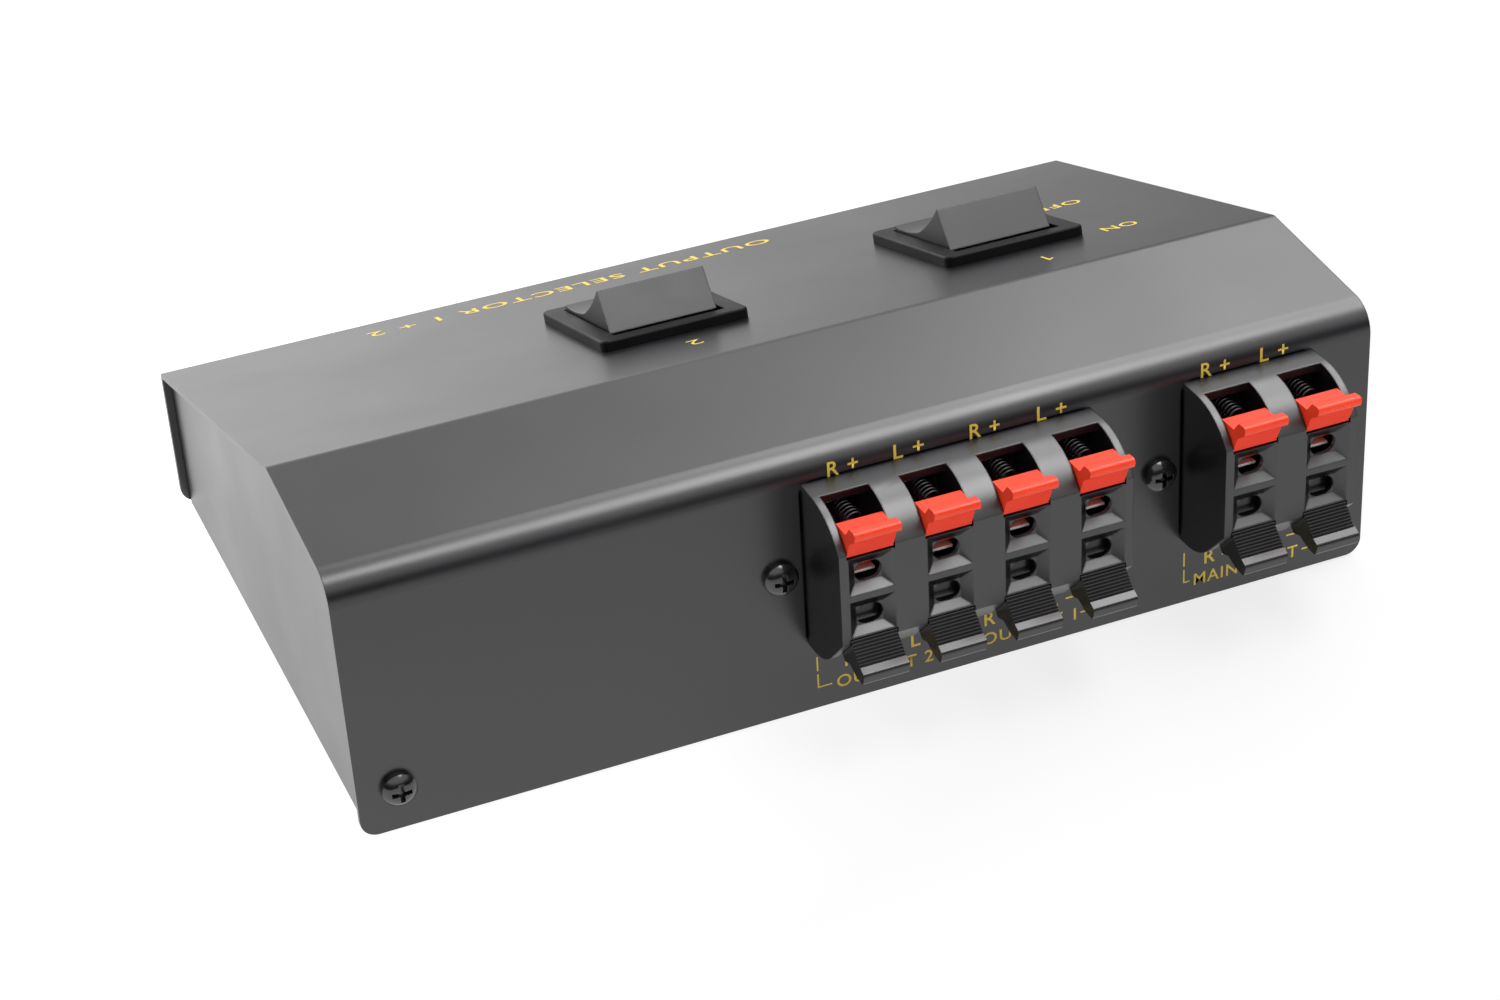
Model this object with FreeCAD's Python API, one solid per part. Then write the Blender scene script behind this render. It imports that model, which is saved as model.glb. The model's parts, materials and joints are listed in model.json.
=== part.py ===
import FreeCAD, Part
import math
import os

# Two-way speaker selector switch: a folded sheet-steel case with two rocker switches on its sloping
# panel and two blocks of push terminals on its rear panel.
# Frame: +X to the right when facing the terminals, -Y towards the terminals, +Z up, in millimetres.
# The origin is the centre of the base, on the surface that the case rests on.

V = FreeCAD.Vector

# Case
box_length = 170.0
box_depth = 108.0
rear_height = 44.8
ridge_height = 48.4
front_height = 25.8
deck_depth = 29.7
sheet = 1.0
rear_bend_radius = 5.0
ridge_bend_radius = 2.4
lip_bend_radius = 1.8
cover_overhang = 1.3
cover_seat_gap = 0.3
cover_lift = 0.3
panel_corner_radius = 2.7
tray_bend_radius = 1.6
tray_flange_width = 12.0
rear_flange_height = 14.0
front_flange_height = 17.0
corner_screw_inset = 6.4
rear_screw_z = 7.6
front_screw_z = 9.0

# Screws
screw_radius = 1.45
screw_clearance = 0.15
thread_clearance = 0.05
head_radius = 2.75
head_height = 2.0
head_seat_gap = 0.02
recess_width = 0.75
recess_reach = 1.55
recess_depth = 1.2
cover_screw_length = 6.0
block_screw_length = 7.0
nut_radius = 3.1
nut_height = 2.2

# Terminal blocks, sizes counted outwards from the rear panel's outer face
column_pitch = 12.7
end_margin = 5.1
speaker_block_x = 11.5
amplifier_block_x = 63.0
speaker_columns = 4
amplifier_columns = 2
block_mid_z = 27.75
block_reach = 13.6
block_top = 12.95
block_bottom = 15.35
crown_start = 4.0
front_top = 7.75
front_bottom = 7.85
chamfer_drop = 4.6
cutout_gap = 0.3
cutout_corner = 2.2
ear_corner = 2.2
ear_thickness = 2.0
ear_reach = 8.0
ear_height = 13.0
ear_screw_offset = 4.05
block_screw_z = 25.6
block_tail = 4.0
front_wall = 2.2
lever_width = 7.5
lever_side_gap = 0.15
lever_end_gap = 0.3
window_start = 4.4
lower_window_start = 8.2
roof_wall = 1.4
funnel_width = 7.4
funnel_height = 6.4
funnel_bar = 1.1
funnel_depth = 1.5
wire_hole_width = 4.3
wire_hole_height = 3.3
wire_hole_drop = 0.35
spring_seat = 1.0

# Levers
pivot_reach = 9.6
pivot_offset = 6.25
pivot_pin_radius = 0.8
pivot_pin_length = 0.9
pivot_clearance = 0.05
red_rib_depth = 0.22
black_rib_depth = 0.22
red_ribs = 5
black_ribs = 8

# Lever springs
spring_radius = 1.55
spring_wire = 0.36
spring_turns = 8
spring_pitch = 0.9
spring_offset = 9.3
quarter_turns = 4

# Terminal contacts
contact_thickness = 0.4
contact_width = 3.6
contact_reach = 10.6
contact_offset = 2.55
lug_length = 7.0
lug_hole_radius = 0.8
contact_slot_gap = 0.1

# Rocker switches, sizes counted from the sloping panel's outer face
switch_positions = {"switch_2": -13.1, "switch_1": 47.1}
switch_down_slope = 34.4
bezel_width = 25.2
bezel_length = 32.2
bezel_height = 1.7
bezel_corner = 1.4
rocker_width = 18.4
rocker_side_gap = 0.3
rocker_end_gap = 0.35
switch_wall = 1.2
switch_depth = 18.0
switch_floor = 1.5
switch_cutout_gap = 0.3
rocker_pivot_depth = 6.0
rocker_tilt = 15.5
ridge_span = 10.05
ridge_rise = 11.6
valley_rise = 9.1
skirt_span = 11.6
skirt_rise = 4.4
hub_radius = 4.0
trunnion_radius = 2.0
trunnion_length = 0.8
trunnion_clearance = 0.05
pole_offset = 4.9
plunger_radius = 1.5
plunger_clearance = 0.1
plunger_reach = 7.0
plunger_length = 5.5
bore_top = 2.0
plunger_spring_radius = 1.1
blade_ratio = 0.5
blade_pivot_depth = 14.0
blade_length = 17.0
blade_width = 3.6
blade_thickness = 0.8
blade_notch_radius = 0.5
tab_thickness = 0.8
tab_width = 4.8
tab_length = 8.0
tab_hole_radius = 0.9
cradle_gap = 0.1
pad_radius = 1.4
pad_height = 0.6
pad_offset = 7.4
pad_gap = 0.15
stop_width = 1.2
stop_gap = 0.25

# Hookup wires
wire_radius = 0.8
wire_bend_radius = 1.8
wire_end_gap = 0.1
wire_spacing = 1.2
minus_loop = 6.0
plus_drop_run = 11.0
floor_wire_z = 4.0
amplifier_wire_z = 9.5
left_jumper_z = 7.3
right_jumper_z = 8.6
right_jumper_shift = 3.0

rear_y = -box_depth / 2
front_y = box_depth / 2
half_length = box_length / 2
tray_half = half_length - cover_overhang
slope_run = box_depth - deck_depth
slope_drop = ridge_height - front_height
slope_angle = math.degrees(math.atan2(slope_drop, slope_run))
slot_width = lever_width + 2 * lever_side_gap
column_names = ["speaker_2_right", "speaker_2_left", "speaker_1_right", "speaker_1_left",
                "amplifier_right", "amplifier_left"]


def block_box(x0, x1, y0, y1, z0, z1):
    """A box between two corners."""
    return Part.makeBox(x1 - x0, y1 - y0, z1 - z0, V(x0, y0, z0))


def hole_along_y(radius, x, y, z, length):
    """A round cutting tool along +Y."""
    return Part.makeCylinder(radius, length, V(x, y, z), V(0, 1, 0))


def rounded_edges(points, radii):
    """Edges of a closed outline whose corners are tangent arcs of the given radii."""
    count = len(points)
    starts = []
    ends = []
    mids = []
    for i in range(count):
        corner = points[i]
        back = points[i - 1] - corner
        ahead = points[(i + 1) % count] - corner
        if radii[i] <= 0:
            starts.append(corner)
            ends.append(corner)
            mids.append(None)
            continue
        half = back.getAngle(ahead) / 2
        reach = radii[i] / math.tan(half)
        start = corner + V(back).normalize() * reach
        end = corner + V(ahead).normalize() * reach
        middle = V(back).normalize() + V(ahead).normalize()
        centre_distance = radii[i] / math.sin(half)
        starts.append(start)
        ends.append(end)
        mids.append(corner + middle.normalize() * (centre_distance - radii[i]))
    edges = []
    for i in range(count):
        if mids[i] is not None:
            edges.append(Part.Arc(starts[i], mids[i], ends[i]).toShape())
        following = starts[(i + 1) % count]
        if ends[i].distanceToPoint(following) > 1e-6:
            edges.append(Part.LineSegment(ends[i], following).toShape())
    return edges


def prism_x(pairs, radii, x0, x1):
    """A solid of a rounded (y, z) outline, from x0 to x1."""
    points = [V(x0, y, z) for y, z in pairs]
    wire = Part.Wire(rounded_edges(points, radii))
    return Part.Face(wire).extrude(V(x1 - x0, 0, 0))


def prism_z(pairs, radii, z0, z1):
    """A solid of a rounded (x, y) outline, from z0 to z1."""
    points = [V(x, y, z0) for x, y in pairs]
    wire = Part.Wire(rounded_edges(points, radii))
    return Part.Face(wire).extrude(V(0, 0, z1 - z0))


def prism_y(pairs, radii, y0, y1):
    """A solid of a rounded (x, z) outline, from y0 to y1."""
    points = [V(x, y0, z) for x, z in pairs]
    wire = Part.Wire(rounded_edges(points, radii))
    return Part.Face(wire).extrude(V(0, y1 - y0, 0))


def rectangle(a0, a1, b0, b1):
    """The four corners of a rectangle as pairs."""
    return [(a0, b0), (a1, b0), (a1, b1), (a0, b1)]


def offset_path(pairs, distance):
    """An open (y, z) path moved to its right-hand side by a distance."""
    moved = []
    for i in range(len(pairs)):
        lines = []
        for j in (i - 1, i):
            if 0 <= j < len(pairs) - 1:
                run = V(pairs[j + 1][0] - pairs[j][0], pairs[j + 1][1] - pairs[j][1], 0).normalize()
                lines.append((run, V(run.y, -run.x, 0)))
        if len(lines) == 1:
            shift = lines[0][1] * distance
        else:
            blend = lines[0][1] + lines[1][1]
            shift = blend * (2 * distance / blend.dot(blend))
        moved.append((pairs[i][0] + shift.x, pairs[i][1] + shift.y))
    return moved


def save(name, shape):
    """Write one node and report whether it is sound."""
    solids = shape.Solids
    kept = solids[0] if len(solids) == 1 else Part.makeCompound(solids)
    kept.exportStep("parts/" + name + ".step")
    print(name, len(solids), "solids", round(kept.Volume, 2), "valid", kept.isValid())


cover_path = [(rear_y, cover_lift), (rear_y, rear_height), (rear_y + deck_depth, ridge_height),
              (front_y, front_height), (front_y, cover_lift)]
cover_bends = [0, rear_bend_radius, ridge_bend_radius, lip_bend_radius, 0]


def block_centre_columns(centre, count):
    """The X places of a block's columns."""
    first = centre - column_pitch * (count - 1) / 2
    return [first + column_pitch * i for i in range(count)]


speaker_places = block_centre_columns(speaker_block_x, speaker_columns)
amplifier_places = block_centre_columns(amplifier_block_x, amplifier_columns)
column_places = speaker_places + amplifier_places


def block_half_width(count):
    """Half of a terminal block's width."""
    return column_pitch * (count - 1) / 2 + end_margin


blocks = [("speaker", speaker_block_x, speaker_columns), ("amplifier", amplifier_block_x, amplifier_columns)]
block_screw_places = []
for block_name, block_x, block_count in blocks:
    for side in (-1, 1):
        block_screw_places.append(block_x + side * (block_half_width(block_count) + ear_screw_offset))


def slope_place(shape, x):
    """Move a shape from the sloping panel's own frame to its place on the case."""
    turned = shape.copy()
    turned.rotate(V(0, 0, 0), V(1, 0, 0), -slope_angle)
    angle = math.radians(slope_angle)
    y = rear_y + deck_depth + switch_down_slope * math.cos(angle)
    z = ridge_height - switch_down_slope * math.sin(angle)
    turned.translate(V(x, y, z))
    return turned


def make_cover():
    """The folded cover: rear panel, rear deck, switch panel and front lip, with their cut-outs."""
    inner = offset_path(cover_path, sheet)
    inner_bends = [max(r - sheet, 0) for r in cover_bends]
    outline = cover_path + inner[::-1]
    shell = prism_x(outline, cover_bends + inner_bends[::-1], -half_length, half_length)
    tool_reach = sheet + 1.0
    for side in (-1, 1):
        x = side * half_length
        x_in = side * (half_length - panel_corner_radius)
        low, high = min(x, x_in), max(x, x_in)
        corner_top = cover_lift + panel_corner_radius
        for y0, y1 in ((rear_y - 1, rear_y + tool_reach), (front_y - tool_reach, front_y + 1)):
            square = block_box(low, high, y0, y1, cover_lift, corner_top)
            disc = Part.makeCylinder(panel_corner_radius, y1 - y0, V(x_in, y0, corner_top), V(0, 1, 0))
            shell = shell.cut(square.cut(disc))
        screw_x = side * (half_length - corner_screw_inset)
        for y0, z in ((rear_y - 1, rear_screw_z), (front_y - tool_reach, front_screw_z)):
            hole = hole_along_y(screw_radius + screw_clearance, screw_x, y0, z, tool_reach + 1)
            shell = shell.cut(hole)
    for name, x, count in blocks:
        half = block_half_width(count) + cutout_gap
        z0 = block_mid_z - block_bottom - cutout_gap
        z1 = block_mid_z + block_top + cutout_gap
        outline = rectangle(x - half, x + half, z0, z1)
        opening = prism_y(outline, [cutout_corner] * 4, rear_y - 1, rear_y + tool_reach)
        shell = shell.cut(opening)
    for x in block_screw_places:
        hole = hole_along_y(screw_radius + screw_clearance, x, rear_y - 1, block_screw_z, tool_reach + 1)
        shell = shell.cut(hole)
    for x in switch_positions.values():
        half_u = switch_body_half_width() + switch_cutout_gap
        half_v = switch_body_half_length() + switch_cutout_gap
        tool = block_box(-half_u, half_u, -half_v, half_v, -tool_reach, 1.0)
        shell = shell.cut(slope_place(tool, x))
    return shell


def make_tray():
    """The base tray: floor, two end walls under the cover's ends, and flanges for the screws."""
    wall_path = offset_path(cover_path, sheet + cover_seat_gap)
    wall_bends = [max(r - sheet - cover_seat_gap, 0) for r in cover_bends]
    wall_path[0] = (wall_path[0][0], 0.0)
    wall_path[-1] = (wall_path[-1][0], 0.0)
    rear_in = wall_path[0][0]
    front_in = wall_path[-1][0]
    tray = block_box(-tray_half, tray_half, rear_in, front_in, 0, sheet)
    for side in (-1, 1):
        outer = side * tray_half
        inner = side * (tray_half - sheet)
        tray = tray.fuse(prism_x(wall_path, wall_bends, min(outer, inner), max(outer, inner)))
        reach = side * (tray_half - tray_flange_width)
        x0, x1 = min(outer, reach), max(outer, reach)
        tray = tray.fuse(block_box(x0, x1, rear_in, rear_in + sheet, 0, rear_flange_height))
        tray = tray.fuse(block_box(x0, x1, front_in - sheet, front_in, 0, front_flange_height))
    tray = tray.removeSplitter()
    edges = []
    for edge in tray.Edges:
        box = edge.BoundBox
        at_side = abs(abs(box.Center.x) - tray_half) < 1e-4 and box.XLength < 1e-4
        upright = box.YLength < 1e-4 and box.ZLength > front_flange_height / 2
        at_end = min(abs(box.Center.y - rear_in), abs(box.Center.y - front_in)) < 1e-4
        along_floor = box.ZLength < 1e-4 and abs(box.Center.z) < 1e-4 and box.YLength > box_depth / 2
        if at_side and ((upright and at_end) or along_floor):
            edges.append(edge)
    tray = tray.makeFillet(tray_bend_radius - sheet, edges)
    for side in (-1, 1):
        screw_x = side * (half_length - corner_screw_inset)
        for y0, z in ((rear_in - 1, rear_screw_z), (front_in - sheet - 1, front_screw_z)):
            hole = hole_along_y(screw_radius + thread_clearance, screw_x, y0, z, sheet + 2)
            tray = tray.cut(hole)
    return tray


def make_screw(length):
    """A pan-head cross-recess screw along +Z, its head's seat at the origin and its shank below."""
    rim = head_radius
    shoulder = head_height * 0.45
    start = V(rim, 0, head_seat_gap)
    top = V(0, 0, head_height)
    edges = [Part.LineSegment(V(0, 0, head_seat_gap), start).toShape(),
             Part.LineSegment(start, V(rim, 0, shoulder)).toShape(),
             Part.Arc(V(rim, 0, shoulder), V(rim * 0.66, 0, head_height * 0.88), top).toShape(),
             Part.LineSegment(top, V(0, 0, head_seat_gap)).toShape()]
    head = Part.Face(Part.Wire(edges)).revolve(V(0, 0, 0), V(0, 0, 1), 360)
    for turn in (0, 90):
        slot = block_box(-recess_reach, recess_reach, -recess_width / 2, recess_width / 2,
                         head_height - recess_depth, head_height + 1)
        slot.rotate(V(0, 0, 0), V(0, 0, 1), turn)
        head = head.cut(slot)
    tip = Part.makeCone(0.4, screw_radius, 1.0, V(0, 0, -length))
    shank = Part.makeCylinder(screw_radius, length - 1.0 + head_seat_gap, V(0, 0, -length + 1.0))
    return head.fuse(shank).fuse(tip).removeSplitter()


def screw_at(length, x, y, z, outward):
    """A screw driven along Y, with its head on the side that outward names."""
    screw = make_screw(length)
    screw.rotate(V(0, 0, 0), V(1, 0, 0), 90 if outward < 0 else -90)
    screw.translate(V(x, y, z))
    return screw


def make_cover_screws():
    """The four screws that hold the cover to the tray's flanges."""
    screws = []
    for side in (-1, 1):
        x = side * (half_length - corner_screw_inset)
        screws.append(screw_at(cover_screw_length, x, rear_y, rear_screw_z, -1))
        screws.append(screw_at(cover_screw_length, x, front_y, front_screw_z, 1))
    return Part.makeCompound(screws)


def make_block_screws():
    """The screws beside the terminal blocks."""
    screws = [screw_at(block_screw_length, x, rear_y, block_screw_z, -1) for x in block_screw_places]
    return Part.makeCompound(screws)


def make_block_nuts():
    """The hexagon nuts behind the terminal blocks' ears."""
    nuts = []
    seat = rear_y + sheet + ear_thickness
    for x in block_screw_places:
        corners = []
        for i in range(6):
            angle = math.radians(60 * i)
            corners.append((x + nut_radius * math.cos(angle), block_screw_z + nut_radius * math.sin(angle)))
        nut = prism_y(corners, [0] * 6, seat, seat + nut_height)
        bore = hole_along_y(screw_radius + thread_clearance, x, seat - 1, block_screw_z, nut_height + 2)
        nuts.append(nut.cut(bore))
    return Part.makeCompound(nuts)


def outward(reach, level):
    """A block point, counted outwards from the rear panel and up from the block's middle, as (y, z)."""
    return (rear_y - reach, block_mid_z + level)


def funnel_level(side):
    """The level of a funnel's centre: above the block's middle for 1 and below it for -1."""
    return side * (funnel_bar + funnel_height) / 2


def funnel_tool(x, side):
    """The four-sided funnel in the front face that leads a wire to its hole."""
    face_y = rear_y - block_reach
    level = block_mid_z + funnel_level(side)
    hole = level - wire_hole_drop
    mouth_x = funnel_width / 2
    mouth_z = funnel_height / 2
    neck_x = wire_hole_width / 2
    neck_z = wire_hole_height / 2
    mouth = rectangle(-mouth_x, mouth_x, -mouth_z, mouth_z)
    neck = rectangle(-neck_x, neck_x, -neck_z, neck_z)
    outer = [V(x + a, face_y, level + b) for a, b in mouth]
    inner = [V(x + a, face_y + funnel_depth, hole + b) for a, b in neck]
    rims = [Part.makePolygon(outer + outer[:1]), Part.makePolygon(inner + inner[:1])]
    return Part.makeLoft(rims, True, True)


def wire_hole_tool(x, side):
    """The stadium-shaped wire hole behind a funnel."""
    level = block_mid_z + funnel_level(side) - wire_hole_drop
    half_x = wire_hole_width / 2
    half_z = wire_hole_height / 2
    corners = rectangle(x - half_x, x + half_x, level - half_z, level + half_z)
    radius = half_z * 0.98
    face_y = rear_y - block_reach
    return prism_y(corners, [radius] * 4, face_y - 0.01, face_y + front_wall + 0.5)


def column_cavity(x, side):
    """The room for one lever, its spring and its contact inside the block."""
    half = slot_width / 2
    wall_in = block_reach - front_wall
    divider = funnel_bar / 2
    roof = block_top - roof_wall
    room = [outward(-block_tail + roof_wall, side * divider), outward(wall_in, side * divider),
            outward(wall_in, side * roof), outward(spring_seat, side * roof),
            outward(spring_seat, side * (spring_offset - spring_radius - 1.2)),
            outward(-block_tail + roof_wall, side * (spring_offset - spring_radius - 1.2))]
    cavity = prism_x(room, [0] * 6, x - half, x + half)
    start = window_start if side > 0 else lower_window_start
    edge = pivot_offset + 1.0 - lever_end_gap
    far = block_bottom + 2
    window = [outward(start, side * (roof - 1.0)), outward(wall_in - 1.0, side * edge),
              outward(block_reach + 1, side * edge), outward(block_reach + 1, side * far),
              outward(start, side * far)]
    cavity = cavity.fuse(prism_x(window, [0] * 5, x - half, x + half))
    pin = Part.makeCylinder(pivot_pin_radius + pivot_clearance, slot_width + 2 * (pivot_pin_length + 0.1),
                            V(x - half - pivot_pin_length - 0.1, rear_y - pivot_reach,
                              block_mid_z + side * pivot_offset), V(1, 0, 0))
    level = block_mid_z + side * contact_offset
    slot = block_box(x - contact_width / 2 - contact_slot_gap, x + contact_width / 2 + contact_slot_gap,
                     rear_y + block_tail - roof_wall - 1, rear_y + block_tail + 1,
                     level - contact_thickness / 2 - contact_slot_gap,
                     level + contact_thickness / 2 + contact_slot_gap)
    return cavity.fuse(pin).fuse(slot)


def make_block(centre, count):
    """A push-terminal block: crowned body through the panel, with ears behind it."""
    half = block_half_width(count)
    rise = block_top - front_top
    run = block_reach - crown_start
    crown_radius = (run * run + rise * rise) / (2 * rise)
    sweep = math.asin(run / crown_radius) / 2
    crown_mid = (crown_start + crown_radius * math.sin(sweep),
                 block_top - crown_radius * (1 - math.cos(sweep)))
    drop = block_bottom - front_bottom - chamfer_drop
    toe_radius = drop / (1 - math.cos(math.radians(45)))
    toe_run = toe_radius * math.sin(math.radians(45))
    toe_start = block_reach - chamfer_drop
    toe_mid = (toe_start - toe_run + toe_radius * math.sin(math.radians(22.5)),
               -block_bottom + toe_radius * (1 - math.cos(math.radians(22.5))))
    x0 = centre - half

    def at(reach, level):
        y, z = outward(reach, level)
        return V(x0, y, z)

    toe = at(toe_start, -front_bottom - chamfer_drop)
    heel = at(toe_start - toe_run, -block_bottom)
    edges = [Part.LineSegment(at(-block_tail, block_top), at(crown_start, block_top)).toShape(),
             Part.Arc(at(crown_start, block_top), at(*crown_mid), at(block_reach, front_top)).toShape(),
             Part.LineSegment(at(block_reach, front_top), at(block_reach, -front_bottom)).toShape(),
             Part.LineSegment(at(block_reach, -front_bottom), toe).toShape(),
             Part.Arc(toe, at(*toe_mid), heel).toShape(),
             Part.LineSegment(heel, at(-block_tail, -block_bottom)).toShape(),
             Part.LineSegment(at(-block_tail, -block_bottom), at(-block_tail, block_top)).toShape()]
    body = Part.Face(Part.Wire(edges)).extrude(V(2 * half, 0, 0))
    ear_half = half + ear_reach
    ear = prism_y(rectangle(centre - ear_half, centre + ear_half, block_screw_z - ear_height / 2,
                            block_screw_z + ear_height / 2), [ear_corner] * 4,
                  rear_y + sheet, rear_y + sheet + ear_thickness)
    body = body.fuse(ear)
    for x in block_centre_columns(centre, count):
        for side in (-1, 1):
            body = body.cut(funnel_tool(x, side))
            body = body.cut(wire_hole_tool(x, side))
            body = body.cut(column_cavity(x, side))
    for side in (-1, 1):
        x = centre + side * (half + ear_screw_offset)
        start = rear_y + sheet - 1
        hole = hole_along_y(screw_radius + screw_clearance, x, start, block_screw_z, ear_thickness + 2)
        body = body.cut(hole)
    return body.removeSplitter()


def ribbed(start, end, count, depth):
    """Points of a straight edge cut by V grooves, from start to just before end."""
    along = V(end[0] - start[0], end[1] - start[1], 0)
    inward = V(-along.y, along.x, 0).normalize() * depth
    points = []
    for i in range(count):
        ridge = V(start[0], start[1], 0) + along * (i / count)
        groove = V(start[0], start[1], 0) + along * ((i + 0.5) / count) + inward
        points += [(ridge.x, ridge.y), (groove.x, groove.y)]
    return points


inner_outline = [(8.9, 8.0), (8.1, 6.25), (8.4, 3.2), (9.9, 3.2), (10.3, 4.9), (11.1, 5.6), (11.1, 7.25)]
inner_radii = [0.4, 0.8, 0.5, 0.5, 0.3, 0.4, 0.0]


def lever_outline(colour):
    """The lever's side outline, as reach and distance from the block's middle, with corner radii."""
    if colour == "red":
        face = ribbed((13.3, 7.25), (14.6, 10.2), red_ribs, red_rib_depth)
        grip = [(14.6, 10.2), (16.4, 11.5), (16.9, 13.0), (14.6, 12.8), (13.2, 11.1), (9.5, 11.1)]
        grip_radii = [0.15, 0.5, 0.65, 0.6, 0.3, 0.3]
    else:
        face = ribbed((13.5, 7.25), (16.5, 10.2), black_ribs, black_rib_depth)
        grip = [(16.5, 10.2), (17.9, 10.9), (17.3, 12.9), (14.8, 12.7), (12.6, 11.8), (10.8, 12.4),
                (9.5, 11.1)]
        grip_radii = [0.1, 0.55, 0.7, 0.5, 0.3, 0.15, 0.3]
    return face + grip + inner_outline, [0] * len(face) + grip_radii + inner_radii


def make_lever(x, side, colour):
    """A push lever with its two pivot pins."""
    half = lever_width / 2
    outline, radii = lever_outline(colour)
    lever = prism_x([outward(reach, side * level) for reach, level in outline], radii, x - half, x + half)
    reach = half + lever_side_gap + pivot_pin_length
    pin = Part.makeCylinder(pivot_pin_radius, 2 * reach, V(x - reach, rear_y - pivot_reach,
                                                            block_mid_z + side * pivot_offset), V(1, 0, 0))
    return lever.fuse(pin).removeSplitter()


def make_contact(x, side):
    """A contact strip through the block's back wall, with a drilled solder lug behind it."""
    level = block_mid_z + side * contact_offset
    half = contact_width / 2
    strip = block_box(x - half, x + half, rear_y - contact_reach, rear_y + block_tail + lug_length,
                      level - contact_thickness / 2, level + contact_thickness / 2)
    hole = Part.makeCylinder(lug_hole_radius, 2, V(x, rear_y + block_tail + lug_length - 2, level - 1))
    return strip.cut(hole)


def biarc(p0, t0, p1, t1):
    """Two tangent arcs between two points with given unit tangents."""
    v = p1 - p0
    turn = 2 * (1 - t0.dot(t1))
    vt = v.dot(t0 + t1)
    reach = (-vt + math.sqrt(vt * vt + turn * v.dot(v))) / turn
    q0 = p0 + t0 * reach
    q1 = p1 - t1 * reach
    joint = (q0 + q1) * 0.5
    arcs = []
    for a, q, b in ((p0, q0, joint), (joint, q1, p1)):
        chord_mid = (a + b) * 0.5
        half_chord = (b - a).Length / 2
        lean = math.acos(min(1.0, half_chord / (q - a).Length))
        rise = half_chord * math.tan(lean / 2)
        arcs.append(Part.Arc(a, chord_mid + (q - chord_mid).normalize() * rise, b).toShape())
    return arcs


def helix_tube(radius, wire, pitch, turns):
    """A coil along +Z from the origin, one unbroken tube on biarcs of a quarter turn."""
    climb = pitch / (2 * math.pi)

    def point(angle):
        return V(radius * math.cos(angle), radius * math.sin(angle), climb * angle)

    def tangent(angle):
        return V(-radius * math.sin(angle), radius * math.cos(angle), climb).normalize()

    step = 2 * math.pi / quarter_turns
    edges = []
    for i in range(int(turns * quarter_turns)):
        edges += biarc(point(i * step), tangent(i * step), point((i + 1) * step), tangent((i + 1) * step))
    path = Part.Wire(edges)
    ring = Part.Wire([Part.makeCircle(wire / 2, point(0), tangent(0))])
    pipe = Part.BRepOffsetAPI.MakePipeShell(path)
    pipe.add(ring)
    pipe.build()
    pipe.makeSolid()
    samples = path.discretize(Number=int(turns * 60))
    least = min(a.distanceToPoint(b) for i, a in enumerate(samples) for b in samples[i + 30:])
    print("least gap of a spring to itself", round(least - wire, 3))
    return pipe.shape()


def make_lever_springs():
    """One coil spring for every lever, lying square to the rear panel behind the lever's top."""
    coil = helix_tube(spring_radius, spring_wire, spring_pitch, spring_turns)
    coil.rotate(V(0, 0, 0), V(1, 0, 0), 90)
    springs = {}
    start = rear_y - spring_seat - spring_wire / 2 - 0.1
    for name, x in zip(column_names, column_places):
        for side, pole in ((1, "plus"), (-1, "minus")):
            spring = coil.copy()
            spring.translate(V(x, start, block_mid_z + side * spring_offset))
            springs[name + "_" + pole + "_spring"] = spring
    return springs


def switch_body_half_width():
    """Half of the width of a rocker switch's body."""
    return rocker_width / 2 + rocker_side_gap + switch_wall


def rocker_reach():
    """The farthest that the rocker's ends swing from the switch's middle."""
    angle = math.radians(rocker_tilt)
    ridge = ridge_span * math.cos(angle) + ridge_rise * math.sin(angle)
    skirt = skirt_span * math.cos(angle) + skirt_rise * math.sin(angle)
    return max(ridge, skirt)


def switch_body_half_length():
    """Half of the length of a rocker switch's body."""
    return rocker_reach() + rocker_end_gap + switch_wall


def tab_box(u, v, w_top):
    """A flat switch terminal standing square to the panel, with a hole near its end."""
    half = tab_width / 2
    low = -switch_depth - tab_length
    tab = block_box(u - half, u + half, v - tab_thickness / 2, v + tab_thickness / 2, low, w_top)
    hole = hole_along_y(tab_hole_radius, u, v - 1 - tab_thickness / 2, low + 2.4, tab_thickness + 2)
    return tab.cut(hole)


def blade_tilt():
    """The contact blades' lean at rest, in degrees."""
    return rocker_tilt * blade_ratio


def pad_top():
    """The level of the fixed contact pads' tops."""
    drop = pad_offset * math.sin(math.radians(blade_tilt()))
    return -blade_pivot_depth - blade_thickness / 2 - drop - pad_gap


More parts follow.
